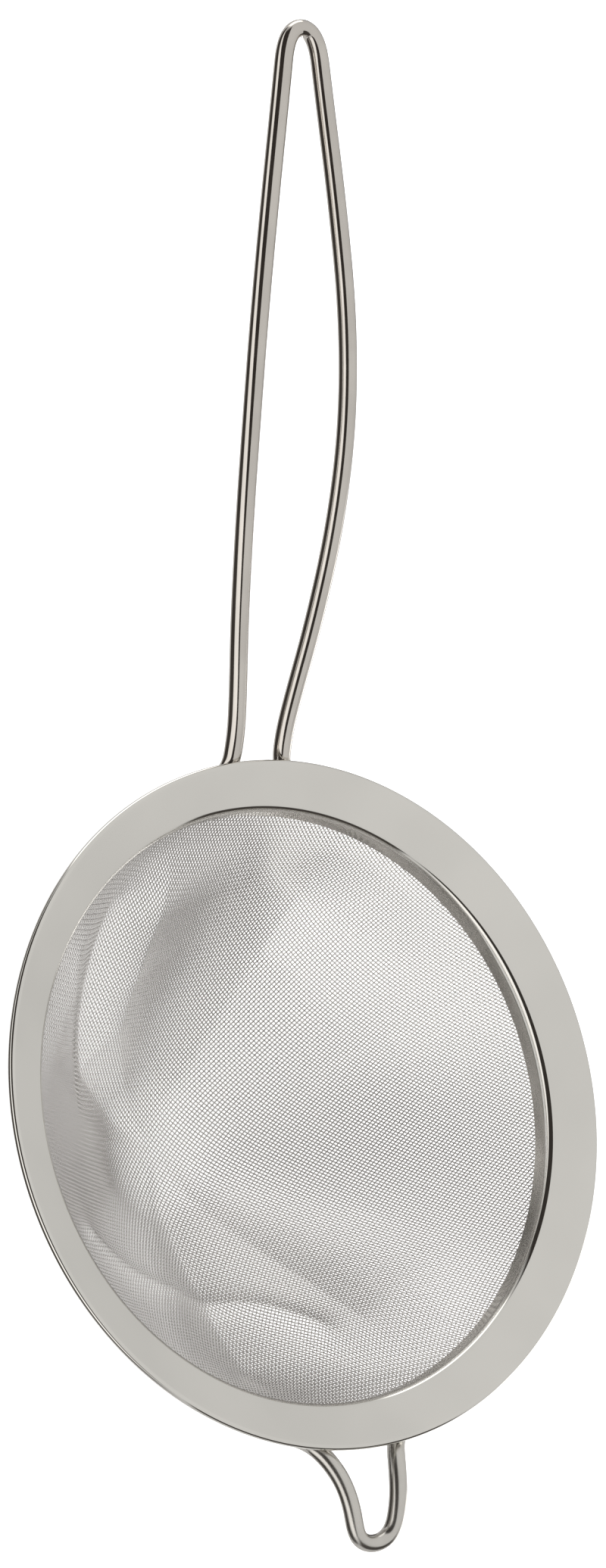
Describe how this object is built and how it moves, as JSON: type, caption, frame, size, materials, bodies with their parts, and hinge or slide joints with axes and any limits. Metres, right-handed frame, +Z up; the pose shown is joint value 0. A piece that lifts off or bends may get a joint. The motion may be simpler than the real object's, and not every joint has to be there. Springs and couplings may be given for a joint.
{
  "type": "tea strainer",
  "caption": "Hand-held tea strainer: woven wire bowl in a dished, hemmed steel rim, with a bent wire loop handle and a small wire rest hook opposite.",
  "frame": {"origin": "centre of the rim, in the plane that the rim's top edge touches", "axes": "+Z up out of the bowl along the rim's axis, +Y from the rim's centre towards the handle, +X to the right of the handle seen from above"},
  "size_m": [0.0932, 0.1994, 0.0777],
  "materials": {
    "rim_steel": "polished stainless sheet with faint rolling marks",
    "ring_steel": "plain pressed stainless sheet",
    "mesh_steel": "bright drawn stainless wire, plain weave",
    "handle_steel": "polished drawn stainless wire",
    "hook_steel": "satin drawn stainless wire"
  },
  "bodies": {
    "root": {"rim_flange": "rim_steel", "backing_ring": "ring_steel", "mesh_bowl": "mesh_steel", "handle_wire": "handle_steel", "rest_hook": "hook_steel"}
  },
  "joints": []
}
